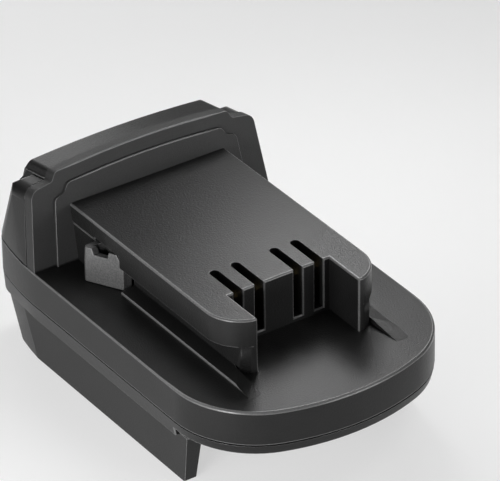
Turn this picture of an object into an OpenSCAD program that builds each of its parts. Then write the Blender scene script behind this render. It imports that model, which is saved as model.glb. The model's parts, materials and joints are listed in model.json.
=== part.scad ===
// Slide-on battery adapter. Its upper side is a tool rail with terminal slots, latches and a stepped
// head with two release buttons. Its lower side is a receiver that a battery slides into.
// +X points from the head to the slots, +Z is up, and z = 0 is the foot of the skirts.
// Inside the modules, x is measured from the foot of the head and z from the top of the deck.

/* [Case] */
// Overall length, from the back of the head to the nose of the deck
case_l = 132; // [128:1:140]
// Overall width
case_w = 84; // [82:1:88]
// Height of the deck above the foot of the skirts
deck_z = 32.5; // [31.5:0.1:36]
// Depth of the head's base, from its front face to its back
head_depth = 26; // [24:0.5:30]
// Height of the band round the upper case
band_h = 11.2; // [10.4:0.2:12.4]
// Thickness of the deck
deck_t = 2.4; // [2:0.1:3]
// Wall of the two case mouldings
wall = 2.2; // [1.8:0.1:2.6]
// Radius of the nose, seen from above
nose_r = 70; // [62:1:90]
// Radius of the corners beside the nose
corner_r = 28; // [22:1:30]
// Radius of the long curve from the sides towards the back
flank_r = 95; // [80:1:120]
// Radius of the back corners
back_r = 9; // [7:0.5:11]

/* [Rail tower] */
// Height of the tower above the deck
tower_h = 17.7; // [16.5:0.1:19]
// Distance from the head to the tips of the prongs
tower_l = 81.5; // [78:0.5:84]
// Width over the flanges
flange_w = 54.6; // [53.6:0.2:56]
// Thickness of the flanges
flange_t = 9; // [8:0.1:9.6]
// Width of the neck under the flanges
neck_w = 44.6; // [43.6:0.2:45.6]
// Radius of the tower's front corners
tower_r = 12; // [10:0.5:13]
// Width of the bay between the prongs
bay_w = 34.8; // [34.2:0.2:36]
// Length of the bay, from the terminal block to the prong tips
bay_l = 14.7; // [13:0.1:17]
// Height of the ledges beside the neck, at their inner edge
ledge_h = 1.7; // [1.2:0.1:2]
// Distance from the head to the front end of the ledges
ledge_end = 92; // [90:0.5:94]
// How far the ledges' inner edges flare outwards at the front
ledge_flare = 0.9; // [0.6:0.1:3]

/* [Terminal slots] */
// Width of each slot
slot_w = 3; // [2.8:0.1:3.2]
// Length of the slots
slot_l = 13.4; // [12.6:0.2:14.4]
// Distance of the inner slots from the middle
slot_in_y = 6.7; // [6.4:0.1:7]
// Distance of the outer slots from the middle
slot_out_y = 13.95; // [13.6:0.05:14.3]
// Height of the step at the foot of the slots
slot_floor = 1.5; // [1:0.1:2]
// Length of a contact clip
clip_l = 7.5; // [6.5:0.1:8]
// Height of the clips above the deck
clip_h = 12.5; // [10:0.5:13]
// Thickness of the clip metal
clip_t = 0.6; // [0.5:0.05:0.7]

/* [Head] */
// Backward lean of the head's front face, in degrees
head_lean = 10.5; // [8:0.5:13]
// Forward lean of the head's back, in degrees
back_lean = 20; // [17:0.5:22]
// Height of the head's crown above the deck, along its face
crown_h = 30.1; // [29.5:0.1:32]
// Radius of the crown's arch
crown_r = 280; // [220:10:400]
// Height of the shoulders above the deck, along the face
shoulder_h = 24.7; // [24:0.1:25.4]
// Half width of the raised middle of the head
crown_hw = 31.6; // [31:0.1:32.4]
// Inward draft of the head's sides, per unit of height
side_draft = 0.119; // [0.08:0.005:0.15]
// Thickness of the front plate
plate_t = 4; // [3:0.1:4.4]
// How far the raised panel stands out of the front plate
panel_t = 0.9; // [0.6:0.1:1.2]
// Half width of the raised panel at the deck
panel_hw = 34.2; // [33.5:0.1:35]
// Height of the raised panel's crown
panel_h = 25.7; // [25.2:0.1:26.6]
// Thickness of the head's back wall
back_t = 1.6; // [1.2:0.1:2]
// Height at which the back wall starts to round over behind the shoulders
shoulder_low = 16; // [14:0.5:17]

/* [Latches] */
// Travel of each release button and its hook
latch_travel = 5; // [4:0.1:5.2]
// Play round the release buttons
button_gap = 0.3; // [0.25:0.05:0.4]
// Skin of the release buttons
button_t = 1.8; // [1.5:0.1:2.2]
// Distance of the hook's tip from the middle
hook_tip_y = 32.3; // [31.5:0.1:33]
// Distance of the hook's back face from the head
hook_x = 12.6; // [12:0.1:13.5]
// Length of the hook along the rail
hook_l = 12; // [11:0.1:12.8]
// Height of the hook
hook_h = 11.7; // [11:0.1:12]
// Height of the fold in the hook's face
hook_fold = 7.3; // [6.6:0.1:8]
// Wall of the hollow hook
hook_t = 1.8; // [1.4:0.1:2.2]
// Thickness of the latch arm
arm_t = 2.4; // [2:0.1:2.8]
// Distance of the arm's inner face from the middle
arm_y = 22.6; // [22.4:0.1:23]
// Height of the latch arm
arm_h = 6; // [5:0.1:6.4]
// Outer diameter of the latch springs
spring_d = 7; // [6:0.1:7.6]
// Wire of the latch springs
spring_wire = 0.9; // [0.7:0.05:1]
// Turns of the latch springs
spring_turns = 7; // [5:1:8]
// Width of the post between the springs
post_w = 16; // [14:0.5:18]

/* [Receiver] */
// Height of the flange under the seam, at the front
flange_h = 3; // [2.6:0.1:3.4]
// Inward draft of the flange, per unit of height
flange_draft = 0.21; // [0.15:0.01:0.25]
// Gap of the seam between the two cases
seam_gap = 0.3; // [0.2:0.05:0.4]
// How much further the flange reaches down along the sides and the back
lip_h = 2.8; // [2.4:0.1:3.2]
// Width over the skirts
skirt_w = 78.8; // [77.8:0.2:79.6]
// Distance from the head to the front edge of the skirts, at their top
skirt_end = 77.6; // [74:0.2:82]
// How far the front edge of the skirts leans back at the foot
skirt_rake = 1.6; // [1:0.1:2]
// Width of the receiver at its ceiling
bay_top_w = 67.6; // [67:0.2:69]
// Width of the receiver at the foot of the skirts
bay_foot_w = 71.2; // [70:0.2:72]
// Inset of the skirts behind the band at the back corners
heel_inset = 1.95; // [1.5:0.05:2.4]
// Forward lean of the receiver's back wall, in degrees
heel_lean = 25; // [20:0.5:26]
// Height above the foot at which the back wall starts to lean
heel_rise = 11.7; // [10:0.1:13]
// Thickness of the receiver's ceiling
ceiling_t = 2.4; // [2:0.1:3]
// Width of the battery rails at the foot of the skirts
rail_in = 4; // [3:0.1:4.4]
// Height of the battery rails
rail_h = 3; // [2.4:0.1:3.6]
// Height of the battery rails above the foot of the skirts
rail_z = 1.2; // [0.8:0.1:1.6]

/* [Battery terminals] */
// Distance of the power blades from the middle
blade_out_y = 14; // [13:0.5:15]
// Distance of the signal blades from the middle
blade_in_y = 5; // [4.5:0.25:5.5]
// Thickness of the blades
blade_t = 1; // [0.8:0.1:1.2]
// Height of the blades
blade_h = 6.5; // [5.5:0.1:7]
// Free length of the blades
blade_l = 14; // [12:0.5:16]
// Depth of the blade block
block_l = 9; // [8:0.5:10]
// Width of the blade block
block_w = 42; // [40:0.5:46]

/* [Inside] */
// Length of the circuit board
board_l = 42; // [41:0.5:43]
// Width of the circuit board
board_w = 54; // [53:0.5:56]
// Thickness of the circuit board
board_t = 1.6; // [1.2:0.1:2]
// Diameter of the capacitor
capacitor_d = 8; // [6:0.5:8]
// Length of the capacitor
capacitor_l = 12; // [10:0.5:14]
// Length of the transistor's body
transistor_l = 9; // [8:0.5:10]
// Width of the transistor
transistor_w = 10; // [9:0.5:10.5]
// Diameter of the power leads
power_lead_d = 3; // [2.4:0.1:3.2]
// Diameter of the signal leads
signal_lead_d = 1.6; // [1.2:0.1:2]
// Diameter of the screws
screw_d = 3; // [2.6:0.1:3.2]
// Diameter of the case screws' heads
screw_head_d = 5.6; // [5:0.1:6]
// Diameter of the screw bosses
boss_d = 7; // [6.4:0.1:7.4]

/* [Hidden] */

case_colour = [0.13, 0.13, 0.135];
button_colour = [0.10, 0.10, 0.105];
cast_colour = [0.42, 0.42, 0.42];
steel_colour = [0.7, 0.7, 0.72];
brass_colour = [0.78, 0.62, 0.32];
board_colour = [0.10, 0.34, 0.18];
block_colour = [0.16, 0.16, 0.17];
red_lead = [0.65, 0.08, 0.07];
black_lead = [0.06, 0.06, 0.06];
white_lead = [0.85, 0.85, 0.83];
yellow_lead = [0.85, 0.68, 0.12];

half_w = case_w / 2;
rear_x = -head_depth;
front_x = case_l - head_depth;
eps = 0.01;

// centres of the deck outline's arcs
nose_c = [front_x - nose_r, 0];
corner_y = half_w - corner_r;
corner_c = [nose_c.x + sqrt(pow(nose_r - corner_r, 2) - pow(corner_y, 2)), corner_y];
nose_a = atan2(corner_y, corner_c.x - nose_c.x);
flank_c = [2, half_w - flank_r];
back_x = rear_x + back_r;
back_rise = sqrt(pow(flank_r - back_r, 2) - pow(back_x - flank_c.x, 2));
back_c = [back_x, flank_c.y + back_rise];
flank_a = atan2(back_rise, back_x - flank_c.x);

tower_hw = flange_w / 2;
neck_hw = neck_w / 2;
bay_hw = bay_w / 2;
flange_z = tower_h - flange_t;
block_x = tower_l - bay_l;
slot_x = block_x - slot_l;
slot_ys = [-slot_out_y, -slot_in_y, slot_in_y, slot_out_y];
clip_x = slot_x + 1.2;
tower_wall = 2.2;
ledge_hw = tower_hw + 0.2;
ledge_out_h = ledge_h * 0.55;

pocket_play = 0.3;
housing_l = hook_x - pocket_play;
housing_h = 11.6;
groove_h = 0.4;
tip_w = 1.45;
pocket_h = hook_h + 0.9;
pocket_in = arm_y - latch_travel - 0.3;
arm_z = 2;
seat_z = 8;
seat_x = -11;
post_hw = post_w / 2;
cap_z = shoulder_h + 1.3;
lean_z = 2;
button_top = shoulder_h + 1.1;
wall_round = 33;
button_low = shoulder_low + 3.6;
button_round = 52;

flange_top = -band_h - seam_gap;
flange_bottom = flange_top - flange_h;
lip_bottom = flange_bottom - lip_h;
lip_inset = 0.1 + flange_draft * (flange_h + lip_h);
back_inset = 0.5;
skirt_hw = skirt_w / 2;
ceiling_top = flange_bottom + ceiling_t;
tongue_h = 2.4;
notch_l = 3.8;
heel_x = rear_x + heel_inset;
heel_z = -deck_z + heel_rise;
heel_ease = 0.2;
receiver_back = -13.5;
rail_end = skirt_end - 12;

block_h = 12;
block_back = receiver_back;
block_front = block_back + block_l;
blade_z = flange_bottom - 6.2;
tail_l = 2.5;
tail_x = block_back + 2;
neck_top = ceiling_top + 0.8;
window_hw = blade_out_y + 3.5;
lead_z = neck_top + power_lead_d / 2 + 0.1;
tail_top = lead_z + power_lead_d / 2;

board_front = clip_x + clip_l + 9.9;
board_x = board_front - board_l;
board_z = -deck_t - 2.5;
board_boss_d = 6;
board_screw_ys = board_w / 2 - 3.4;
board_screw_xs = [board_x + 4, board_x + board_l - 4];
lead_end_x = board_x + 3;
lead_bend = 2.4;

case_screw_spots = [[-3, 29], [-3, -29], [89, 22], [89, -22]];
screw_head_t = 1.8;
screw_l = 7;
post_h = 2;

// points on an arc, from angle a to angle b in n steps
function arc(c, r, a, b, n) =
    [for (i = [0:n]) c + r * [cos(a + (b - a) * i / n), sin(a + (b - a) * i / n)]];

function mirrored(pts) = [for (i = [len(pts) - 1:-1:0]) [pts[i].x, -pts[i].y]];

// outline of the deck, drawn inwards by d
function deck_half(d) = concat(
    arc(nose_c, nose_r - d, 0, nose_a, 7),
    arc(corner_c, corner_r - d, nose_a + 5, 90, 12),
    arc(flank_c, flank_r - d, 90 + 1, flank_a, 4),
    arc(back_c, back_r - d, flank_a + 6, 180, 12));
function deck_outline(d = 0) = concat(deck_half(d), mirrored(deck_half(d)));

function unit(v) = v / norm(v);

// the arc that rounds the corner q between p and s by radius r
function fillet(p, q, s, r, n) =
    let (u = unit(p - q), v = unit(s - q))
    let (h = acos(u * v) / 2, c = q + unit(u + v) * r / sin(h))
    let (a = q + u * r / tan(h) - c, b = q + v * r / tan(h) - c)
    let (a0 = atan2(a.y, a.x), turn = (atan2(b.y, b.x) - a0 + 540) % 360 - 180)
    arc(c, r, a0, a0 + turn, n);

// a closed outline of [x, y, radius] corners
function rounded(pts, n = 5) =
    let (m = len(pts))
    [for (i = [0:m - 1])
        let (q = [pts[i].x, pts[i].y], p = pts[(i + m - 1) % m], s = pts[(i + 1) % m])
        each pts[i].z > 0 ? fillet([p.x, p.y], q, [s.x, s.y], pts[i].z, n) : [q]];

function flipped(pts) = [for (i = [len(pts) - 1:-1:0]) [-pts[i].x, pts[i].y, pts[i].z]];

// height of an arch at distance y from the middle
function arch_z(top, y) = top - crown_r + sqrt(pow(crown_r, 2) - pow(y, 2));
function arch_top(top, hw) = [for (i = [3:-1:1]) [hw * i / 4, arch_z(top, hw * i / 4), 0]];

// stepped outline of the head, as [y, height along the face]
function head_half(low) = concat(
    [[half_w - 0.3 - side_draft * low, low, 0],
     [half_w - 0.2 - side_draft * shoulder_h, shoulder_h, 3.2],
     [crown_hw, shoulder_h + 1.1, 1.2],
     [crown_hw - 1.3, arch_z(crown_h, crown_hw - 1.3), 1.8]],
    arch_top(crown_h, crown_hw - 1.3));
function head_outline(low = -0.8) =
    rounded(concat(head_half(low), [[0, crown_h, 0]], flipped(head_half(low))));

// outline of the raised panel on the head
function panel_half(low) = concat(
    [[panel_hw, low, 0],
     [panel_hw - 2.3, panel_h - 5.2, 1.6],
     [panel_hw - 5.8, panel_h - 3.8, 1.2],
     [panel_hw - 7.2, arch_z(panel_h, panel_hw - 7.2), 2]],
    arch_top(panel_h, panel_hw - 7.2));
function panel_outline(low = -1) =
    rounded(concat(panel_half(low), [[0, panel_h, 0]], flipped(panel_half(low))));

// tower outline: straight flanges, round front corners that end in short flats, cut by the bay
function tower_outline(hw) =
    let (cy = tower_hw - tower_r, a = asin((bay_hw + tip_w - cy) / tower_r))
    let (c = [tower_l - tower_r * cos(a), cy], b = hw < tower_hw ? asin((hw - cy) / tower_r) : 90)
    let (bay = [[block_x, 0], [block_x, bay_hw], [tower_l, bay_hw]])
    let (half = concat(bay, arc(c, tower_r, a, b, 10), [[-1, hw]]))
    concat(half, mirrored(half));

// moves a piece from the working origin to the adapter's own origin
module placed() {
    translate([(head_depth - front_x) / 2, 0, deck_z]) children();
}

// picks one side: left is -Y, right is +Y
module on_side(side) {
    mirror([0, side < 0 ? 1 : 0, 0]) children();
}

// extrudes a drawing in y and z along +X
module along_x(l) {
    rotate([90, 0, 90]) linear_extrude(l) children();
}

// extrudes a drawing in x and z along Y, centred
module along_y(w) {
    rotate([90, 0, 0]) linear_extrude(w, center = true) children();
}

// the frame of the head's leaning face
module face_frame() {
    translate([1.5, 0, 0]) rotate([0, -head_lean, 0]) children();
}

// the deck's outline, upright at the deck and leaning forwards as it rises behind the head
module back_form(d) {
    intersection() {
        translate([rear_x, 0, lean_z])
            rotate([0, back_lean, 0])
                translate([0, 0, -20])
                    linear_extrude(70) translate([-rear_x, 0]) polygon(deck_outline(d));
        translate([0, 0, -3]) linear_extrude(60) polygon(deck_outline(d));
    }
}

// distance of the head's back at height z
function back_at(z) = rear_x + (z - lean_z) * tan(back_lean);

// the deck's outline, leaning further forwards where the back wall rounds over behind the shoulders
module shoulder_form() {
    translate([back_at(shoulder_low), 0, shoulder_low])
        rotate([0, wall_round, 0])
            translate([0, 0, -60]) linear_extrude(120) translate([-rear_x, 0]) polygon(deck_outline());
}

// the space in front of the slope that ends the release buttons' shoulders
module button_slope(d) {
    translate([back_at(button_low) + (back_t + 0.3) / cos(back_lean), 0, button_low])
        rotate([0, button_round, 0]) translate([d, -60, -60]) cube(120);
}

// a slab parallel to the head's back, from depth a to depth b
module back_slab(a, b, hw) {
    translate([rear_x, 0, lean_z])
        rotate([0, back_lean, 0])
            translate([a, -hw, -20]) cube([b - a, 2 * hw, 70]);
}

module slot_row(grow, low, high, x0, x1) {
    for (y = slot_ys)
        translate([0, y, low])
            linear_extrude(high - low)
                union() {
                    translate([x0 + slot_w / 2, 0]) circle(d = slot_w + grow, $fn = 32);
                    translate([x0 + slot_w / 2, -slot_w / 2 - grow / 2])
                        square([x1 - x0, slot_w + grow]);
                }
}

module tower() {
    translate([0, 0, flange_z]) linear_extrude(flange_t) polygon(tower_outline(tower_hw));
    translate([0, 0, -1]) linear_extrude(flange_z + 1 + eps) polygon(tower_outline(neck_hw));
    // low steps where the terminal block meets the prongs, and the foot of the slots
    translate([slot_x, -bay_hw - 1, -1]) cube([slot_l, 2 * bay_hw + 2, slot_floor + 1]);
}

module latch_housing() {
    for (side = [-1, 1])
        on_side(side)
            translate([0, neck_hw - 1, -1])
                cube([housing_l, tower_hw - 0.3 - neck_hw + 1, housing_h + 1]);
}

// the flange's edge beside the latch housing: a fine groove over the housing and a step below it
module housing_groove() {
    for (side = [-1, 1])
        on_side(side) {
            translate([-2, tower_hw - 0.3, flange_z - 1])
                cube([housing_l + 2, 5, housing_h + groove_h - flange_z + 1]);
            translate([-2, tower_hw - 1, housing_h]) cube([housing_l + 2, 5, groove_h]);
        }
}

module ledges() {
    x0 = hook_x + hook_l + 1.2;
    for (side = [-1, 1])
        on_side(side)
            intersection() {
                translate([x0, 0, 0])
                    along_x(ledge_end - x0)
                        polygon([[neck_hw - 0.5, -1], [ledge_hw, -1], [ledge_hw, ledge_out_h],
                            [neck_hw + 0.5, ledge_h], [neck_hw - 0.5, ledge_h]]);
                translate([0, tower_hw, 0])
                    along_y(2 * tower_hw)
                        polygon([[0, -1], [ledge_end, -1], [ledge_end, 0.02],
                            [tower_l - 3, ledge_h + 0.1], [0, ledge_h + 0.1]]);
                // the inner edge flares at the front end
                translate([0, 0, -2])
                    linear_extrude(6)
                        polygon([[x0, neck_hw - 0.5], [tower_l - 6, neck_hw - 0.5],
                            [tower_l - 3, neck_hw + 0.6], [ledge_end, neck_hw + ledge_flare],
                            [ledge_end, ledge_hw], [x0, ledge_hw]]);
            }
}

module head_plate() {
    face_frame() {
        translate([-plate_t, 0, 0]) along_x(plate_t) polygon(head_outline());
        along_x(panel_t) polygon(panel_outline());
    }
}

// the head behind its front plate, as one solid block
module head_block() {
    intersection() {
        face_frame() translate([-40, 0, 0]) along_x(40) polygon(head_outline());
        back_form(0);
    }
}

module head_roof() {
    intersection() {
        head_block();
        face_frame() translate([-40, -crown_hw, cap_z]) cube([40, 2 * crown_hw, 10]);
    }
}

module head_back() {
    intersection() {
        head_block();
        back_slab(0, back_t, back_c.y + 4.1);
        union() {
            translate([-60, -crown_hw, -1]) cube([60, 2 * crown_hw, 60]);
            shoulder_form();
        }
    }
}

module spring_post() {
    translate([seat_x - 4, -post_hw, -1]) cube([8, post_w, seat_z + 6]);
    translate([seat_x, 0, seat_z])
        rotate([90, 0, 0])
            cylinder(d = spring_d - 2 * spring_wire - 0.6, h = post_w + 6, center = true, $fn = 32);
}

// room for the hook, its arm and their travel
module latch_rooms() {
    for (side = [-1, 1])
        on_side(side) {
            // the arm's tunnel
            translate([-8, pocket_in, arm_z - 0.3])
                cube([8 + hook_x, arm_y + arm_t + 0.3 - pocket_in, arm_h + 0.6]);
            // the hook's pocket
            translate([hook_x - pocket_play, pocket_in, 0])
                cube([hook_l + 2 * pocket_play, 20, pocket_h]);
        }
}

module screw_bosses() {
    for (p = case_screw_spots)
        translate([p.x, p.y, ceiling_top + post_h])
            cylinder(d = boss_d, h = -deck_t - ceiling_top - post_h + 0.5, $fn = 48);
    for (x = board_screw_xs, y = [-board_screw_ys, board_screw_ys])
        translate([x, y, board_z]) cylinder(d = board_boss_d, h = -deck_t - board_z + 0.5, $fn = 48);
}

module screw_holes() {
    for (p = case_screw_spots)
        translate([p.x, p.y, ceiling_top + post_h - 1]) cylinder(d = screw_d + 0.1, h = 6.2, $fn = 32);
    for (x = board_screw_xs, y = [-board_screw_ys, board_screw_ys])
        translate([x, y, board_z - 1]) cylinder(d = 2.3, h = 4.4, $fn = 32);
}

module upper_case() {
    color(case_colour) placed() difference() {
        union() {
            difference() {
                union() {
                    translate([0, 0, -band_h]) linear_extrude(band_h) polygon(deck_outline());
                    difference() {
                        tower();
                        housing_groove();
                    }
                    latch_housing();
                    ledges();
                }
                // room under the deck
                translate([0, 0, -band_h - 1])
                    linear_extrude(band_h - deck_t + 1) polygon(deck_outline(wall));
                // room inside the tower, behind the slots
                translate([2, -neck_hw + tower_wall, -deck_t - 1])
                    cube([slot_x - 4, neck_w - 2 * tower_wall, deck_t + 1 + tower_h - deck_t]);
                slot_row(0, slot_floor, tower_h + 1, slot_x, block_x + 1);
                // windows that the clips rise through
                for (y = slot_ys)
                    translate([clip_x - 0.3, y - slot_w / 2, -deck_t - 1])
                        cube([clip_l + 0.6, slot_w, deck_t + 1 + slot_floor + eps]);
            }
            head_plate();
            head_roof();
            head_back();
            spring_post();
            screw_bosses();
        }
        latch_rooms();
        screw_holes();
    }
}

module button_skin() {
    intersection() {
        difference() {
            face_frame()
                translate([-40, 0, 0])
                    along_x(40 - plate_t - button_gap) polygon(rounded([
                        [crown_hw + button_gap, -2, 0],
                        [half_w - 0.2 + side_draft * 2, -2, 0],
                        [half_w - 0.2 - side_draft * shoulder_h, shoulder_h, 4.6],
                        [crown_hw + button_gap, button_top - 0.15, 0]]));
            intersection() {
                face_frame()
                    translate([-45, 0, 0])
                        along_x(45 - plate_t - button_gap - button_t) polygon(rounded([
                            [0, -3, 0],
                            [half_w - 0.2 + side_draft * 3 - button_t, -3, 0],
                            [half_w - 0.2 - side_draft * shoulder_h - button_t, shoulder_h - button_t, 2.8],
                            [crown_hw, button_top - button_t - 0.15, 0],
                            [0, button_top - button_t - 0.15, 0]]));
                back_form(button_t);
                button_slope(button_t);
            }
        }
        back_form(0.15);
        button_slope(0);
        back_slab(back_t + 0.3, 60, 50);
        translate([-60, 0, button_gap]) cube([60, 60, 60]);
    }
}

// ribs that carry the push from the button's skin to the latch arm
module button_ribs() {
    intersection() {
        head_block();
        for (x = [seat_x - 3.2, seat_x + 1.2])
            translate([x, arm_y + arm_t, arm_z + 1]) cube([2, 20, arm_h + 3]);
        back_form(0.6);
    }
}

module release_button(side) {
    color(button_colour) placed() on_side(side) {
        button_skin();
        button_ribs();
    }
}

// plan of the hook, square behind and sloping at its outer front
function hook_outline(l, tip) = rounded([
    [hook_x, arm_y, 0], [hook_x + l, arm_y, 0],
    [hook_x + l, tip - (tip - arm_y - 3) * l / hook_l, 0.4],
    [hook_x, tip, 0.9]], 4);

module latch_hook(side) {
    color(cast_colour) placed() on_side(side) {
        // the arm, from the spring seat through the head plate to the hook
        translate([seat_x - 4, arm_y, arm_z]) cube([hook_x + hook_t + 4 - seat_x, arm_t, arm_h]);
        translate([seat_x - 4, arm_y, arm_z]) cube([9, arm_t, arm_h + 5]);
        difference() {
            union() {
                translate([0, 0, 0.25])
                    linear_extrude(hook_fold - 0.25)
                        polygon(hook_outline(hook_l, hook_tip_y));
                hull() {
                    translate([0, 0, hook_fold - 0.2])
                        linear_extrude(0.2) polygon(hook_outline(hook_l, hook_tip_y));
                    translate([0, 0, hook_fold + 1.4])
                        linear_extrude(0.1) polygon(hook_outline(hook_l - 2, hook_tip_y - 0.15));
                    translate([0, 0, hook_h - 0.1])
                        linear_extrude(0.1) polygon(hook_outline(hook_l - 2, hook_tip_y - 0.4));
                }
            }
            // open hollow behind the sloping face
            translate([0, 0, 4])
                linear_extrude(hook_h)
                    polygon([
                        [hook_x + hook_t, arm_y + arm_t], [hook_x + hook_l - 2.6, arm_y + arm_t],
                        [hook_x + hook_t, hook_tip_y - 3.4]]);
            // notch in the top edge of the face
            translate([0, 0, hook_h])
                rotate([90, 0, 0])
                    translate([0, 0, -40])
                        linear_extrude(14) polygon([
                            [hook_x + 2.4, 1], [hook_x + 3.4, -2], [hook_x + 7.4, -2],
                            [hook_x + 7.9, 1]]);
        }
    }
}

// a coil spring along Y, swept round its helix
module latch_spring(side) {
    ring = 6;
    steps = 12;
    r = (spring_d - spring_wire) / 2;
    y0 = post_hw + spring_wire / 2;
    len = arm_y - post_hw - spring_wire;
    n = spring_turns * steps;
    function centre(i) = [r * cos(360 * i / steps), y0 + len * i / n, r * sin(360 * i / steps)];
    function section(i, k) =
        let (a = 360 * i / steps, b = 360 * k / ring)
        centre(i) + spring_wire / 2 * [cos(a) * cos(b), sin(b), sin(a) * cos(b)];
    pts = [for (i = [0:n], k = [0:ring - 1]) section(i, k)];
    sides = [for (i = [0:n - 1], k = [0:ring - 1])
        let (k2 = (k + 1) % ring, a = i * ring, b = (i + 1) * ring)
        each [[a + k, a + k2, b + k2], [a + k, b + k2, b + k]]];
    caps = concat([for (k = [1:ring - 2]) [0, k + 1, k]],
        [for (k = [1:ring - 2]) [n * ring, n * ring + k, n * ring + k + 1]]);
    color(steel_colour) placed() on_side(side)
        translate([seat_x, 0, seat_z]) polyhedron(pts, concat(sides, caps));
}

// a contact clip: two bowed leaves on a foot that stands on the board
module clip(y) {
    leaf = [[0, slot_w / 2 - 0.1], [clip_l * 0.35, slot_w / 2 - 0.1], [clip_l * 0.75, 0.45 + clip_t],
        [clip_l, slot_w / 2 - 0.1 - 0.2], [clip_l, slot_w / 2 - 0.3 - clip_t],
        [clip_l * 0.75, 0.45], [clip_l * 0.35, slot_w / 2 - 0.1 - clip_t], [0, slot_w / 2 - 0.1 - clip_t]];
    color(brass_colour) placed() translate([clip_x, y, 0]) {
        for (s = [0, 1])
            mirror([0, s, 0])
                translate([0, 0, slot_floor + 0.5]) linear_extrude(clip_h - slot_floor - 0.5) polygon(leaf);
        translate([0, -slot_w / 2 + 0.1, board_z])
            cube([clip_t, slot_w - 0.2, clip_h - board_z]);
        translate([0, -slot_w / 2 + 0.1, board_z]) cube([clip_l, slot_w - 0.2, clip_t]);
    }
}

module circuit_board() {
    color(board_colour) placed() difference() {
        translate([board_x, -board_w / 2, board_z - board_t]) cube([board_l, board_w, board_t]);
        for (x = board_screw_xs, y = [-board_screw_ys, board_screw_ys])
            translate([x, y, board_z - board_t - 1]) cylinder(d = 2.8, h = board_t + 2, $fn = 32);
    }
}

module cutoff_transistor() {
    tab_l = transistor_l * 0.72;
    pin_l = transistor_l * 0.39;
    color([0.12, 0.12, 0.12]) placed()
        translate([board_x + 6, -transistor_w - 2, board_z]) {
            cube([transistor_l, transistor_w, transistor_l / 2]);
            difference() {
                translate([transistor_l, 0, 0]) cube([tab_l, transistor_w, 1.3]);
                translate([transistor_l + tab_l * 0.57, transistor_w / 2, -1])
                    cylinder(d = 3.6, h = 4, $fn = 32);
            }
            for (k = [-1, 0, 1])
                translate([-pin_l, transistor_w / 2 + k * transistor_w * 0.26 - 0.4, 0])
                    cube([pin_l + eps, 0.8, 0.6]);
        }
}

module capacitor() {
    r = capacitor_d / 2;
    color([0.15, 0.2, 0.32]) placed() translate([board_x + 7 + r, 3, board_z + r])
        rotate([-90, 0, 0]) {
            cylinder(r = r, h = capacitor_l, $fn = 48);
            translate([-0.8 * r, 0, 0]) cube([1.6 * r, r, capacitor_l]);
        }
}

module board_screws() {
    color(steel_colour) placed()
        for (x = board_screw_xs, y = [-board_screw_ys, board_screw_ys])
            translate([x, y, board_z - board_t]) {
                translate([0, 0, -1.4]) cylinder(d = 4.4, h = 1.4, $fn = 32);
                cylinder(d = 2.2, h = board_t + 3, $fn = 32);
            }
}

// the flange under the seam, drafted inwards down to the lip that the sides and the back have
module flange() {
    difference() {
        hull() {
            translate([0, 0, flange_top - 0.1]) linear_extrude(0.1) polygon(deck_outline(0.1));
            translate([0, 0, lip_bottom]) linear_extrude(0.1) polygon(deck_outline(lip_inset));
            // the back is steeper than the sides
            translate([0, 0, lip_bottom])
                linear_extrude(0.1)
                    intersection() {
                        polygon(deck_outline(back_inset));
                        translate([rear_x - 1, -60]) square([back_r, 120]);
                    }
        }
        translate([skirt_end - notch_l, -60, lip_bottom - 1]) cube([100, 120, lip_h + 1]);
    }
}

// the deck's outline under the seam, leaning forwards as it goes down to the foot
module heel_form(d) {
    intersection() {
        translate([heel_x, 0, heel_z])
            rotate([0, -heel_lean, 0]) {
                intersection() {
                    translate([-heel_x - heel_ease, 0, -80])
                        linear_extrude(160) polygon(deck_outline(heel_inset + d));
                    translate([d, -60, -80]) cube([200, 120, 160]);
                }
            }
        translate([0, 0, -deck_z - 1]) linear_extrude(deck_z) polygon(deck_outline(heel_inset + d));
    }
}

// room inside the hollow back wall
module heel_room() {
    intersection() {
        heel_form(wall);
        translate([-60, -bay_top_w / 2 + 3, -deck_z + wall])
            cube([60 + receiver_back - wall, bay_top_w - 6, deck_z]);
    }
}

// side view of the skirts
module skirt_profile() {
    foot = -deck_z;
    polygon(rounded([
        [heel_x - 2, flange_bottom + 1, 0],
        [heel_x - 2, foot + 2, 0],
        [heel_x + heel_rise * tan(heel_lean) - 0.7, foot, 1],
        [skirt_end - skirt_rake, foot, 0.8],
        [skirt_end, lip_bottom + 0.6, 0],
        [skirt_end - notch_l, lip_bottom + 0.6, 0],
        [skirt_end - notch_l, flange_bottom + 1, 0]]));
}

module skirts() {
    intersection() {
        heel_form(0);
        along_y(skirt_w) skirt_profile();
    }
    // the inner part of the skirts' front ends runs up to the ceiling
    for (side = [-1, 1])
        on_side(side)
            translate([skirt_end - notch_l - 1, bay_top_w / 2 - 1, lip_bottom - 1])
                cube([notch_l, skirt_hw - 3 - bay_top_w / 2, lip_h + 2]);
}

// the space that the battery fills
module receiver_room() {
    foot = -deck_z;
    translate([receiver_back, 0, 0])
        along_x(200)
            polygon([
                [-bay_foot_w / 2, foot - 1], [bay_foot_w / 2, foot - 1],
                [bay_top_w / 2, flange_bottom], [-bay_top_w / 2, flange_bottom]]);
}

module battery_rails() {
    foot = -deck_z;
    for (side = [-1, 1])
        on_side(side)
            translate([receiver_back - 1, 0, 0])
                intersection() {
                    along_x(rail_end + 1 - receiver_back)
                        polygon([
                            [bay_foot_w / 2 + 1, foot + rail_z], [bay_foot_w / 2 - rail_in, foot + rail_z],
                            [bay_foot_w / 2 - rail_in, foot + rail_z + rail_h],
                            [bay_foot_w / 2 + 1, foot + rail_z + rail_h]]);
                    // tapered lead-in at the front end
                    linear_extrude(200, center = true)
                        polygon([[0, 0], [rail_end + 1 - receiver_back, bay_foot_w / 2 + 1],
                            [0, bay_foot_w / 2 + 1]]);
                }
}

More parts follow.
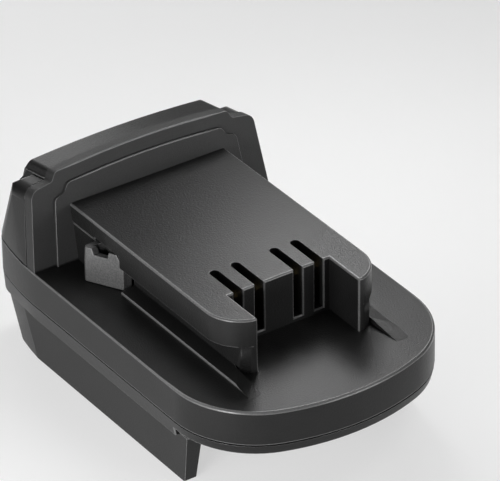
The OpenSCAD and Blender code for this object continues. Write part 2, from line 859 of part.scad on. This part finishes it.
module lower_case() {
    color(case_colour) placed() difference() {
        union() {
            difference() {
                union() {
                    flange();
                    skirts();
                }
                receiver_room();
                heel_room();
                // room above the ceiling
                translate([0, 0, ceiling_top])
                    linear_extrude(20) polygon(deck_outline(wall + 1.3));
            }
            battery_rails();
            // tongue that stands inside the upper case's wall
            translate([0, 0, ceiling_top - 0.5])
                linear_extrude(flange_top - ceiling_top + 0.5 + tongue_h)
                    difference() {
                        polygon(deck_outline(wall + 0.12));
                        polygon(deck_outline(wall + 1.3));
                    }
            // posts that the upper case's bosses stand on
            for (p = case_screw_spots)
                translate([p.x, p.y, ceiling_top - 0.5])
                    cylinder(d = screw_head_d + 2.6, h = post_h + 0.5, $fn = 48);
        }
        for (p = case_screw_spots) {
            translate([p.x, p.y, flange_bottom - 2]) cylinder(d = screw_d + 0.6, h = 10, $fn = 32);
            translate([p.x, p.y, flange_bottom - 2])
                cylinder(d = screw_head_d + 0.4, h = 4.1, $fn = 48);
        }
        // window for the blade block's neck
        translate([tail_x - 1.2, -window_hw - 0.1, flange_bottom - 1])
            cube([tail_l + 2.4, 2 * window_hw + 0.2, ceiling_t + 2]);
        // recess that the battery's own latch snaps into
        translate([skirt_end - 10, -9, flange_bottom - 1]) cube([8, 18, 2.4]);
    }
}

module case_screws() {
    color(steel_colour) placed()
        for (p = case_screw_spots)
            translate([p.x, p.y, flange_bottom + 2.1]) difference() {
                union() {
                    translate([0, 0, -screw_head_t]) cylinder(d = screw_head_d, h = screw_head_t, $fn = 48);
                    cylinder(d = screw_d, h = screw_l, $fn = 32);
                }
                for (a = [0, 90])
                    rotate(a) translate([-1.5, -0.35, -screw_head_t - 1]) cube([3, 0.7, 2]);
            }
}

blade_ys = [-blade_out_y, -blade_in_y, blade_in_y, blade_out_y];

module blade_form(y, grow) {
    translate([0, y - blade_t / 2 - grow, 0]) {
        translate([tail_x - grow, 0, blade_z - blade_h / 2 - grow])
            cube([block_front + blade_l - tail_x + grow, blade_t + 2 * grow, blade_h + 2 * grow]);
        translate([tail_x - grow, 0, blade_z])
            cube([tail_l + 2 * grow, blade_t + 2 * grow, tail_top - blade_z]);
    }
}

module blade(y) {
    color(brass_colour) placed() difference() {
        blade_form(y, 0);
        // pointed tip
        translate([block_front + blade_l, y - 2, blade_z])
            rotate([0, 45, 0]) translate([-0.9, 0, 1.2]) cube([8, 4, 8]);
        translate([block_front + blade_l, y - 2, blade_z])
            rotate([0, 45, 0]) translate([1.2, 0, -8.9]) cube([8, 4, 8]);
    }
}

module blade_block() {
    color(block_colour) placed() difference() {
        union() {
            translate([block_back, -block_w / 2, flange_bottom - block_h])
                cube([block_l, block_w, block_h]);
            translate([tail_x - 1.1, -window_hw, flange_bottom - 1])
                cube([tail_l + 2.2, 2 * window_hw, neck_top - flange_bottom + 1]);
            // guide pegs between the blades
            for (y = [-(blade_in_y + blade_out_y) / 2, (blade_in_y + blade_out_y) / 2])
                translate([block_front - 1, y - 1.5, flange_bottom - block_h + 1])
                    cube([4, 3, block_h - 3]);
        }
        for (y = blade_ys)
            blade_form(y, 0.05);
    }
}

// an insulated lead, from a blade's tail to the underside of the board
module lead(y, d, tint) {
    x0 = tail_x + tail_l;
    x1 = lead_end_x - lead_bend;
    rise = board_z - board_t - lead_z - lead_bend;
    color(tint) placed() translate([0, y, lead_z]) {
        translate([x0, 0, 0]) rotate([0, 90, 0]) cylinder(d = d, h = x1 - x0, $fn = 32);
        translate([x1, 0, lead_bend])
            rotate([90, 0, 0])
                rotate([0, 0, -90])
                    rotate_extrude(angle = 90, $fn = 48) translate([lead_bend, 0]) circle(d = d, $fn = 32);
        translate([lead_end_x, 0, lead_bend]) cylinder(d = d, h = rise, $fn = 32);
    }
}

upper_case();
lower_case();
release_button(-1);  // release_button_left
release_button(1);  // release_button_right
latch_hook(-1);  // latch_hook_left
latch_hook(1);  // latch_hook_right
latch_spring(-1);  // latch_spring_left
latch_spring(1);  // latch_spring_right
clip(slot_out_y);  // clip_positive
clip(-slot_out_y);  // clip_negative
clip(slot_in_y);  // clip_signal_a
clip(-slot_in_y);  // clip_signal_b
circuit_board();
cutoff_transistor();
capacitor();
board_screws();
blade_block();
blade(blade_out_y);  // blade_positive
blade(-blade_out_y);  // blade_negative
blade(blade_in_y);  // blade_signal_a
blade(-blade_in_y);  // blade_signal_b
lead(blade_out_y, power_lead_d, red_lead);  // lead_positive
lead(-blade_out_y, power_lead_d, black_lead);  // lead_negative
lead(blade_in_y, signal_lead_d, white_lead);  // lead_signal_a
lead(-blade_in_y, signal_lead_d, yellow_lead);  // lead_signal_b
case_screws();
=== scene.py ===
import json
import math

import bmesh
import bpy
from mathutils import Matrix, Vector


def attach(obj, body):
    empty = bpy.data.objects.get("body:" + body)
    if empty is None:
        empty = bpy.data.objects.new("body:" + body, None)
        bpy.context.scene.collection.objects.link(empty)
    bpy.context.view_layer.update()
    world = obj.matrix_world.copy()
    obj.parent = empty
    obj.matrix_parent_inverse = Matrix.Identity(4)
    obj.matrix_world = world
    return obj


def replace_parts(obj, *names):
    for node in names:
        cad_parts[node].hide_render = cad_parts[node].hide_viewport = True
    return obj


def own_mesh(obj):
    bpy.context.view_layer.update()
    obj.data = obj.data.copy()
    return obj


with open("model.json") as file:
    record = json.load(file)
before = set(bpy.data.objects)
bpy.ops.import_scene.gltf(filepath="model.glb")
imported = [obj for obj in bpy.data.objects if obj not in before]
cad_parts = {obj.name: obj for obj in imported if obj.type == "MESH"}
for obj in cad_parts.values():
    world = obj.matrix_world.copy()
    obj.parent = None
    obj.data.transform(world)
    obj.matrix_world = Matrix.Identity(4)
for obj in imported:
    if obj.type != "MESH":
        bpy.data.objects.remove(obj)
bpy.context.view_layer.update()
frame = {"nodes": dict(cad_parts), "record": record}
nodes = frame["nodes"]

MM = 0.001

# Places on the case, in millimetres

DECK_Z, TOWER_Z = 32.5, 50.2
# the raised panel's front, back from the middle at the deck's height, and the depth of the leaning
# plate that starts there
HEAD_FACE, HEAD_DEPTH = 37.5, 5.3
HEAD_LEAN = math.radians(10.5)
# the tower ends before these distances from the middle, across and to the front
BESIDE_TOWER, BEFORE_TOWER = 33, 50


# Shader maths

class Val:
    """A socket of a shader tree that can be used in sums."""

    def __init__(self, tree, socket):
        self.tree, self.socket = tree, socket

    def math(self, operation, *values):
        return self.tree.node("ShaderNodeMath", {"operation": operation},
                              dict(enumerate([self, *values])))

    def __add__(self, other):
        return self.math("ADD", other)

    def __radd__(self, other):
        return self.math("ADD", other)

    def __sub__(self, other):
        return self.math("SUBTRACT", other)

    def __rsub__(self, other):
        return (self * -1) + other

    def __mul__(self, other):
        return self.math("MULTIPLY", other)

    def __rmul__(self, other):
        return self.math("MULTIPLY", other)

    def step(self, low, high):
        """0 below low, 1 above high, smooth between."""
        return self.tree.node("ShaderNodeMapRange",
                              {"interpolation_type": "SMOOTHSTEP", "clamp": True},
                              {"Value": self, "From Min": low, "From Max": high})


class Finish:
    """One material's shader tree."""

    def __init__(self, name):
        self.material = bpy.data.materials.new(name)
        self.material.use_nodes = True
        self.nodes = self.material.node_tree.nodes
        self.links = self.material.node_tree.links
        self.nodes.clear()
        output = self.nodes.new("ShaderNodeOutputMaterial")
        self.shader = self.nodes.new("ShaderNodeBsdfPrincipled")
        self.links.new(self.shader.outputs[0], output.inputs["Surface"])
        self.place = Val(self, self.nodes.new("ShaderNodeTexCoord").outputs["Object"])

    def plug(self, socket, value):
        """Links a value or sets a constant; a colour of three numbers gets its alpha of 1."""
        if isinstance(value, Val):
            self.links.new(value.socket, socket)
        elif hasattr(value, "__len__") and len(socket.default_value) > len(value):
            socket.default_value = [*value, 1]
        else:
            socket.default_value = value

    def node(self, kind, settings=None, inputs=None, output=0):
        made = self.nodes.new(kind)
        for key, value in (settings or {}).items():
            setattr(made, key, value)
        for key, value in (inputs or {}).items():
            self.plug(made.inputs[key], value)
        return Val(self, made.outputs[output])

    def set(self, **values):
        for key, value in values.items():
            self.plug(self.shader.inputs[key.replace("_", " ")], value)
        return self

    def noise(self, size_mm, detail, roughness):
        """Even noise from 0 to 1 whose grains are about size_mm across."""
        return self.node("ShaderNodeTexNoise", {"noise_dimensions": "3D"},
                         {"Vector": self.place, "Scale": 1 / (size_mm * MM),
                          "Detail": detail, "Roughness": roughness})

    def cells(self, size_mm, feature="F1"):
        return self.node("ShaderNodeTexVoronoi", {"feature": feature},
                         {"Vector": self.place, "Scale": 1 / (size_mm * MM)})

    def blend(self, share, first, second):
        """Mixes two colours by share."""
        return self.node("ShaderNodeMix", {"data_type": "RGBA"},
                         {0: share, 6: first, 7: second}, output=2)

    def bump(self, height, depth_mm):
        """A raised pattern: height from 0 to 1 stands depth_mm high."""
        return self.node("ShaderNodeBump", {}, {"Height": height, "Strength": 1.0,
                                                "Distance": depth_mm * MM})

    def axis(self, letter):
        """Distance along one axis, in metres."""
        return self.node("ShaderNodeSeparateXYZ", {}, {0: self.place}, "XYZ".index(letter))

    def attribute(self, name):
        return self.node("ShaderNodeAttribute", {"attribute_name": name}, output="Fac")


def shade(colour, times):
    return [c * times for c in colour]


# Finishes

# how many times lighter than the plastic its painted edge highlights and the head plate's grain
# tips are
EDGE_HIGHLIGHT_LIGHTER, HEAD_TIP_LIGHTER = 9.0, 2.8
# the head plate's lighter grain tips fade in over these widths, behind the panel's face and above
# the deck, in mm
FACE_FADE, FOOT_FADE = 0.1, (0.2, 0.7)


def leaning_plate(f):
    """1 on the plate that carries the raised panel, 0 on the rest of the case."""
    behind_face = (f.axis("Z") - DECK_Z * MM) * math.tan(HEAD_LEAN) + f.axis("X")
    rear = HEAD_FACE + HEAD_DEPTH
    return ((behind_face * -1).step(HEAD_FACE * MM, (HEAD_FACE + FACE_FADE) * MM)
            * behind_face.step(-rear * MM, -(rear - 2 * FACE_FADE) * MM)
            * f.axis("Z").step((DECK_Z + FOOT_FADE[0]) * MM, (DECK_Z + FOOT_FADE[1]) * MM))


def moulded_plastic(name, colour, roughness, grain_mm=0.5, grain_depth=0.085, lighter_head=False):
    """Fine spark-eroded grain, faint patches, and edges painted lighter as a highlight."""
    f = Finish(name)
    grain = f.noise(grain_mm, 2.5, 0.6)
    patches = f.noise(14, 3, 0.55)
    edge = f.attribute("rubbed_edge") * (0.7 + grain * 0.6)
    plain = f.blend(patches.step(0.35, 0.65), shade(colour, 0.9), shade(colour, 1.1))
    matt = 0
    if lighter_head:
        # the head in front of the buttons is lighter at the grain's tips and rougher
        matt = leaning_plate(f)
        plain = f.blend(matt * (0.6 + grain * 0.8), plain, shade(colour, HEAD_TIP_LIGHTER))
    # the bevel's faces are painted lighter than the plastic as an edge highlight, with a clear
    # coat over them
    f.set(Base_Color=f.blend(edge.step(0, 1), plain, shade(colour, EDGE_HIGHLIGHT_LIGHTER)),
          Roughness=(roughness + (patches - 0.5) * 0.05 + (grain - 0.5) * 0.20
                     - edge * 0.06 + matt * 0.14),
          Normal=f.bump(grain, grain_depth),
          Coat_Weight=edge * 0.8, Coat_Roughness=0.22,
          Specular_IOR_Level=0.25)
    return f.material


def cast_metal(name, colour):
    f = Finish(name)
    grain = f.noise(0.5, 4, 0.7)
    coarse = f.noise(2.5, 3, 0.6)
    speck = f.cells(0.6).step(0.05, 0.32)
    f.set(Base_Color=f.blend(grain.step(0.3, 0.7), shade(colour, 0.75), shade(colour, 1.25)),
          Metallic=0.85,
          Roughness=0.42 + grain * 0.15 + coarse * 0.08,
          Normal=f.bump(grain * 0.7 + speck * 0.3, 0.05))
    return f.material


def plain_metal(name, colour, roughness):
    f = Finish(name)
    fine = f.noise(0.3, 3, 0.6)
    wide = f.noise(4, 2, 0.5)
    f.set(Base_Color=f.blend(wide.step(0.3, 0.7), shade(colour, 0.9), colour),
          Metallic=1.0, Roughness=roughness + (fine - 0.5) * 0.12,
          Normal=f.bump(fine, 0.004))
    return f.material


def soft_plastic(name, colour, roughness):
    f = Finish(name)
    fine = f.noise(0.4, 2, 0.5)
    wide = f.noise(6, 2, 0.5)
    f.set(Base_Color=f.blend(wide.step(0.3, 0.7), shade(colour, 0.85), colour),
          Roughness=roughness + (fine - 0.5) * 0.1, Normal=f.bump(fine, 0.006))
    return f.material


def board_mask(name):
    """Green solder mask with the copper's lines raised a little under it."""
    f = Finish(name)
    weave = f.noise(0.8, 3, 0.6)
    traces = f.cells(2.6, "DISTANCE_TO_EDGE").step(0.16, 0.20)
    f.set(Base_Color=f.blend(traces, [0.045, 0.22, 0.09], [0.02, 0.12, 0.05]),
          Roughness=0.32 + (weave - 0.5) * 0.1, Normal=f.bump(1 - traces, 0.03))
    return f.material


finishes = {
    "case_plastic": moulded_plastic("case_plastic", [0.014, 0.014, 0.014], 0.34, lighter_head=True),
    "button_plastic": moulded_plastic("button_plastic", [0.013, 0.013, 0.013], 0.33, 0.4, 0.03),
    "cast_metal": cast_metal("cast_metal", [0.16, 0.16, 0.16]),
    "spring_steel": plain_metal("spring_steel", [0.55, 0.55, 0.56], 0.3),
    "screw_steel": plain_metal("screw_steel", [0.50, 0.50, 0.52], 0.35),
    "contact_metal": plain_metal("contact_metal", [0.75, 0.58, 0.28], 0.28),
    "board": board_mask("board"),
    "component_black": soft_plastic("component_black", [0.02, 0.02, 0.02], 0.5),
    "component_sleeve": soft_plastic("component_sleeve", [0.03, 0.045, 0.11], 0.35),
    "block_plastic": moulded_plastic("block_plastic", [0.022, 0.022, 0.023], 0.48),
    "lead_red": soft_plastic("lead_red", [0.42, 0.02, 0.015], 0.42),
    "lead_black": soft_plastic("lead_black", [0.015, 0.015, 0.015], 0.42),
    "lead_white": soft_plastic("lead_white", [0.72, 0.72, 0.70], 0.42),
    "lead_yellow": soft_plastic("lead_yellow", [0.65, 0.44, 0.04], 0.42),
}


# Rounded edges

# corners of a CAD node's loose triangles that lie closer than this are one, in metres
WELD = 2e-6
# faces that meet flatter than this become one
FLAT = math.radians(0.3)
# edges that turn by more than this are rounded, in this many steps
SHARP, ROUNDING_STEPS = math.radians(22), 3
# an edge with less than this share of its piece's radius stays sharp
LEAST_SHARE = 0.1
# cosine of the turn to the next edge of a face: a narrow point, and nearly straight on
POINTED, STRAIGHT_ON = -0.94, 0.87
# cosine below which two edges of a face lie opposite each other
OPPOSITE = -0.2
# the turns by which edges follow each other round a curve
CURVE = math.radians(2), math.radians(35)


def only(obj):
    bpy.ops.object.select_all(action="DESELECT")
    obj.select_set(True)
    bpy.context.view_layer.objects.active = obj


def modifier(obj, kind, **settings):
    made = obj.modifiers.new(kind.title(), kind)
    for key, value in settings.items():
        setattr(made, key, value)
    only(obj)
    bpy.ops.object.modifier_apply(modifier=made.name)


def distance_to_run(point, start, end):
    run = end - start
    share = max(0, min(1, (point - start).dot(run) / run.length_squared))
    return (point - start - run * share).length


def room_beside(edge):
    """How wide an edge can be rounded before its bevel meets another edge of its faces."""
    room = 1.0
    for loop in edge.link_loops:
        face = loop.face
        start, end = loop.vert.co, loop.link_loop_next.vert.co
        along = (end - start).normalized()
        for other in face.loops:
            if other is loop:
                continue
            a, b = other.vert.co, other.link_loop_next.vert.co
            turn = along.dot((b - a).normalized())
            if other is loop.link_loop_next or other is loop.link_loop_prev:
                if turn < POINTED:
                    room = min(room, 0.1 * MM)
                elif turn < STRAIGHT_ON:
                    room = min(room, 0.55 * (b - a).length)
            else:
                gap = min(distance_to_run(q, start, end) for q in (a, b))
                if turn < OPPOSITE:
                    gap = min([gap] + [distance_to_run(q, a, b) for q in (start, end)])
                room = min(room, 0.45 * gap)
    return room


def even_out(form, shares):
    """Gives edges that follow each other round a curve the same share."""
    changed = True
    while changed:
        changed = False
        for corner in form.verts:
            sharp = [e for e in corner.link_edges if shares[e.index] > 0]
            for one in sharp:
                for two in sharp:
                    ahead = (corner.co - one.other_vert(corner).co).normalized()
                    onward = (two.other_vert(corner).co - corner.co).normalized()
                    follows = CURVE[0] < ahead.angle(onward, 0) < CURVE[1]
                    if follows and shares[two.index] > shares[one.index]:
                        shares[two.index] = shares[one.index]
                        changed = True


def weigh_edges(mesh, radius, wanted):
    """Marks each sharp edge with the share of the radius that it gets."""
    form = bmesh.new()
    form.from_mesh(mesh)
    form.edges.index_update()
    weights = []
    for edge in form.edges:
        sharp = len(edge.link_faces) == 2 and edge.calc_face_angle_signed() > SHARP
        middle = (edge.verts[0].co + edge.verts[1].co) / 2
        share = min(wanted(middle / MM) * MM, room_beside(edge)) / radius if sharp else 0
        weights.append(share if share > LEAST_SHARE else 0)
    even_out(form, weights)
    form.free()
    marks = mesh.attributes.new("bevel_weight_edge", "FLOAT", "EDGE")
    marks.data.foreach_set("value", weights)


def mark_highlight_faces(mesh):
    """The bevel's own faces carry 1, all others 0: they get the painted edge highlight."""
    marks = mesh.attributes.new("rubbed_edge", "FLOAT", "FACE")
    marks.data.foreach_set("value", [float(face.material_index == 1) for face in mesh.polygons])
    mesh.polygons.foreach_set("material_index", [0] * len(mesh.polygons))


def finish_edges(piece, radius_mm):
    """Rounds the weighted edges, marks the rounding for its painted highlight and shades the
    piece.
    """
    # the bevel's faces can only be told apart where the mesh has a second material place
    piece.data.materials.clear()
    for _ in range(2):
        piece.data.materials.append(None)
    modifier(piece, "BEVEL", width=radius_mm * MM, segments=ROUNDING_STEPS,
             limit_method="WEIGHT", use_clamp_overlap=False, offset_type="OFFSET", material=1)
    mark_highlight_faces(piece.data)
    only(piece)
    bpy.ops.object.shade_smooth_by_angle(angle=math.radians(30))
    modifier(piece, "WEIGHTED_NORMAL", keep_sharp=True, weight=50)


def own_copy(name, ending):
    """A CAD node's own shape as a new piece, with its triangles joined, left in edit mode."""
    source = nodes[name]
    piece = bpy.data.objects.new(name + ending, source.data.copy())
    bpy.context.scene.collection.objects.link(piece)
    piece.matrix_world = source.matrix_world
    only(piece)
    bpy.ops.object.mode_set(mode="EDIT")
    bpy.ops.mesh.select_all(action="SELECT")
    bpy.ops.mesh.remove_doubles(threshold=WELD)
    return piece


def rounded_copy(name, radius_mm, wanted=None, cuts=()):
    """A CAD node's own shape with its sharp edges rounded."""
    wanted = wanted or (lambda middle: radius_mm)
    piece = own_copy(name, "_moulding")
    bpy.ops.mesh.dissolve_limited(angle_limit=FLAT)
    for x in cuts:
        bpy.ops.mesh.select_all(action="SELECT")
        bpy.ops.mesh.bisect(plane_co=(x * MM, 0, 0), plane_no=(1, 0, 0))
    bpy.ops.object.mode_set(mode="OBJECT")
    weigh_edges(piece.data, radius_mm * MM, wanted)
    finish_edges(piece, radius_mm)
    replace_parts(piece, name)
    return piece


# Mouldings and hooks

RIM_RADIUS, TOWER_RADIUS, CASE_RADIUS = 0.8, 0.6, 0.45
# an edge this near to a height lies on it, in mm
LEVEL = 0.3
# the case's long faces are divided here, so that the rounding doesn't draw them out past the box
FACES_DIVIDED_AT = -36.5


def upper_case_radius(middle):
    """Wider on the deck's rim and the tower's top than on the head and the slots."""
    outside_tower = abs(middle.y) > BESIDE_TOWER or middle.x > BEFORE_TOWER
    if abs(middle.z - DECK_Z) < LEVEL and outside_tower:
        return RIM_RADIUS
    if abs(middle.z - TOWER_Z) < LEVEL:
        return TOWER_RADIUS
    return CASE_RADIUS


pieces = {}
for name, body, radius, wanted, cuts in [
        ("upper_case", "housing", RIM_RADIUS, upper_case_radius, (FACES_DIVIDED_AT,)),
        ("lower_case", "housing", 0.4, None, ()),
        ("release_button_left", "left_latch", 0.4, None, ()),
        ("release_button_right", "right_latch", 0.4, None, ()),
        ("latch_hook_left", "left_latch", 0.3, None, ()),
        ("latch_hook_right", "right_latch", 0.3, None, ())]:
    pieces[name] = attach(rounded_copy(name, radius, wanted, cuts), body)


# Springs


def latch_spring(name):
    """A spring's own copy, shaded smooth and fixed to the housing."""
    coil = own_copy(name, "_coil")
    bpy.ops.object.mode_set(mode="OBJECT")
    bpy.ops.object.shade_smooth_by_angle(angle=math.radians(40))
    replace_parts(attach(coil, "housing"), name)
    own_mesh(coil)
    return coil


for name, side, joint in (("latch_spring_left", -1, "left_release"),
                          ("latch_spring_right", 1, "right_release")):
    pieces[name] = latch_spring(name)


# Wings at the head's ends

# the wing seen from the side: along the roof's slope, over the button's top and back, in mm
WING_OUTLINE = [(-58.10, 51.94), (-52.70, 56.16), (-47.05, 57.21),
                (-47.10, 57.50), (-56.70, 55.72), (-57.25, 54.20)]
# it starts inside the roof's end, is made this wide, and is then cut along the roof's end face
WING_INSIDE, WING_WIDTH = 31, 3.5
END_FACE_PLACE = (-52, 32.05, 56.44)
END_FACE_TURN = (-0.0745, 0.912, 0.402)
WING_RADIUS = 0.2


def head_wing(name, side):
    """The fixed wall and lip that close the head's end over the button's slope and top."""
    bpy.ops.object.select_all(action="DESELECT")
    bpy.ops.mesh.primitive_circle_add(vertices=len(WING_OUTLINE), radius=MM, fill_type="NGON")
    wing = bpy.context.object
    wing.name = name
    for corner, (x, z) in zip(wing.data.vertices, WING_OUTLINE):
        corner.co = (x * MM, side * WING_INSIDE * MM, z * MM)
    bpy.ops.object.mode_set(mode="EDIT")
    bpy.ops.mesh.select_all(action="SELECT")
    bpy.ops.mesh.extrude_region_move(
        TRANSFORM_OT_translate={"value": (0, side * WING_WIDTH * MM, 0)})
    bpy.ops.mesh.select_all(action="SELECT")
    x, y, z = END_FACE_PLACE
    across, out, rise = END_FACE_TURN
    bpy.ops.mesh.bisect(plane_co=(x * MM, side * y * MM, z * MM),
                        plane_no=(across, side * out, rise), use_fill=True, clear_outer=True)
    bpy.ops.mesh.select_all(action="SELECT")
    bpy.ops.mesh.normals_make_consistent(inside=False)
    bpy.ops.object.mode_set(mode="OBJECT")
    weigh_edges(wing.data, WING_RADIUS * MM, lambda middle: WING_RADIUS)
    finish_edges(wing, WING_RADIUS)
    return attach(wing, "housing")


def dress(piece, slot):
    piece.data.materials.clear()
    piece.data.materials.append(finishes[slot])


for name, side in (("head_wing_left", -1), ("head_wing_right", 1)):
    dress(head_wing(name, side), "case_plastic")

for part in frame["record"]["subparts"]:
    name, slot = part["node"], part["material_slot"]
    dress(pieces.get(name, nodes[name]), slot)
    name in pieces


# Floor and room

FLOOR_SIDE, FLOOR_Z = 6, -0.0002
FLOOR_GREY, FLOOR_GLOW, ROOM_GLOW = 0.4, 0.56, 0.05


def white_backdrop(finish, strength):
    """Glows for the camera and for what gloss and glass show, and lights nothing."""
    path = finish.nodes.new("ShaderNodeLightPath")
    rays = [Val(finish, path.outputs[ray])
            for ray in ("Is Camera Ray", "Is Glossy Ray", "Is Transmission Ray")]
    shown = rays[0].math("MAXIMUM", rays[1]).math("MAXIMUM", rays[2])
    finish.set(Emission_Color=[1, 1, 1], Emission_Strength=shown * strength)


bpy.ops.object.select_all(action="DESELECT")
bpy.ops.mesh.primitive_plane_add(size=FLOOR_SIDE, location=(0, 0, FLOOR_Z))
floor = bpy.context.object
floor.name = "floor"
pale_floor = Finish("pale_floor").set(Base_Color=shade([1, 1, 1], FLOOR_GREY), Roughness=0.7)
white_backdrop(pale_floor, FLOOR_GLOW)
floor.data.materials.append(pale_floor.material)

world = bpy.data.worlds.new("studio")
bpy.context.scene.world = world
world.use_nodes = True
world.node_tree.nodes["Background"].inputs["Color"].default_value = (1, 1, 1, 1)
world.node_tree.nodes["Background"].inputs["Strength"].default_value = ROOM_GLOW


# Lamps, in metres and watts

TOWER, MIDDLE, LEFT_OF_MIDDLE = (0.02, 0, 0.035), (0, 0, 0.035), (-0.02, 0, 0.045)


def softbox(name, place, aim, side, power):
    """A square lamp that lights the object but isn't itself in the picture."""
    data = bpy.data.lights.new(name, "AREA")
    data.shape, data.size, data.energy = "SQUARE", side, power
    obj = bpy.data.objects.new(name, data)
    bpy.context.scene.collection.objects.link(obj)
    obj.visible_camera = False
    obj.location = place
    obj.rotation_mode = "QUATERNION"
    obj.rotation_quaternion = (Vector(aim) - Vector(place)).to_track_quat("-Z", "Y")


softbox("over_tower", (-0.0937, 0.0831, 0.2264), TOWER, 0.07, 0.035)
softbox("over_slots", (-0.0856, 0.1619, 0.1671), TOWER, 0.07, 0.060)
softbox("low_behind", (-0.0950, 0.0930, 0.1600), (0.05, 0, 0.035), 0.05, 0.090)
softbox("high_left", (-0.1327, 0.0249, 0.2264), TOWER, 0.07, 0.060)
softbox("far_behind", (-0.4762, 0.1269, 0.1390), MIDDLE, 0.16, 0.22)
softbox("right_front", (0.5363, 0.2616, 0.0627), TOWER, 0.3, 1.6)
softbox("left_front", (0.1280, -0.2217, 0.0651), LEFT_OF_MIDDLE, 0.1, 0.42)
softbox("left", (0.0223, -0.2551, 0.0651), LEFT_OF_MIDDLE, 0.1, 0.10)
softbox("left_edges", (-0.42, -0.15, 0.43), MIDDLE, 0.25, 0.45)
softbox("right_edges", (0.175, 0.33, 0.61), MIDDLE, 0.3, 0.45)


# Camera, from a fit to the photo's edges

CAMERA_TURN, CAMERA_RISE, CAMERA_ROLL = map(math.radians, (56.042, 32.038, -0.813))
CAMERA_REACH = 1.409
CAMERA_SHIFT = (-0.0293, 0.003816)
DECK_CENTRE = Vector((-0.040, 0, 0.0325))

back = Vector((math.sin(CAMERA_TURN) * math.cos(CAMERA_RISE),
               -math.cos(CAMERA_TURN) * math.cos(CAMERA_RISE), math.sin(CAMERA_RISE)))
level = Vector((math.cos(CAMERA_TURN), math.sin(CAMERA_TURN), 0))
upright = back.cross(level)
right = level * math.cos(CAMERA_ROLL) + upright * math.sin(CAMERA_ROLL)
up = back.cross(right)
camera = bpy.data.objects.new("camera", bpy.data.cameras.new("camera"))
bpy.context.scene.collection.objects.link(camera)
camera.data.lens, camera.data.sensor_width = 342.95, 36
camera.data.sensor_fit = "HORIZONTAL"
camera.data.clip_start, camera.data.clip_end = 0.05, 20
eye = DECK_CENTRE + back * CAMERA_REACH - right * CAMERA_SHIFT[0] - up * CAMERA_SHIFT[1]
camera.matrix_world = Matrix((
    (right.x, up.x, back.x, eye.x), (right.y, up.y, back.y, eye.y),
    (right.z, up.z, back.z, eye.z), (0, 0, 0, 1)))
bpy.context.scene.camera = camera
bpy.context.scene.view_settings.view_transform = "Standard"
